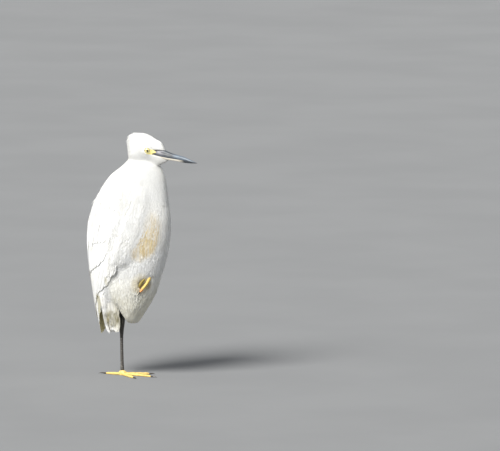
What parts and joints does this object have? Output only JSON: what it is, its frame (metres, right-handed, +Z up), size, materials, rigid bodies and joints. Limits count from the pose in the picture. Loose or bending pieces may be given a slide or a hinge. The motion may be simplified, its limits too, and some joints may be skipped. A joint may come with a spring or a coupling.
{
  "type": "little egret",
  "caption": "Life-size little egret at rest, standing on one leg with the other foot tucked into its belly feathers and its neck drawn in.",
  "frame": {"origin": "the flat sole of the standing left foot, under the shank, on the floor", "axes": "+X the way the bird faces, +Y its left side, +Z up"},
  "size_m": [0.2196, 0.1206, 0.4405],
  "materials": {
    "plumage": "soft white feathers",
    "bill_dark": "blue-black horn with a dull gloss",
    "bill_pale": "pale flesh-grey horn",
    "iris": "wet pale yellow",
    "shank": "black scaly skin",
    "toe": "yellow scaly skin",
    "claw": "dark horn"
  },
  "bodies": {
    "root": {"bill_lower": "bill_pale", "bill_upper": "bill_dark", "claw_left_hind": "claw", "claw_left_inner": "claw", "claw_left_middle": "claw", "claw_left_outer": "claw", "claw_right_hind": "claw", "claw_right_inner": "claw", "claw_right_middle": "claw", "claw_right_outer": "claw", "eye_left": "iris", "eye_right": "iris", "foot_left": "toe", "foot_right": "toe", "head": "plumage", "neck": "plumage", "shank_left": "shank", "shank_right": "shank", "tail": "plumage", "thigh_left": "shank", "toe_left_hind": "toe", "toe_left_inner": "toe", "toe_left_middle": "toe", "toe_left_outer": "toe", "toe_right_hind": "toe", "toe_right_inner": "toe", "toe_right_middle": "toe", "toe_right_outer": "toe", "trunk": "plumage", "wing_left": "plumage", "wing_right": "plumage"}
  },
  "joints": []
}
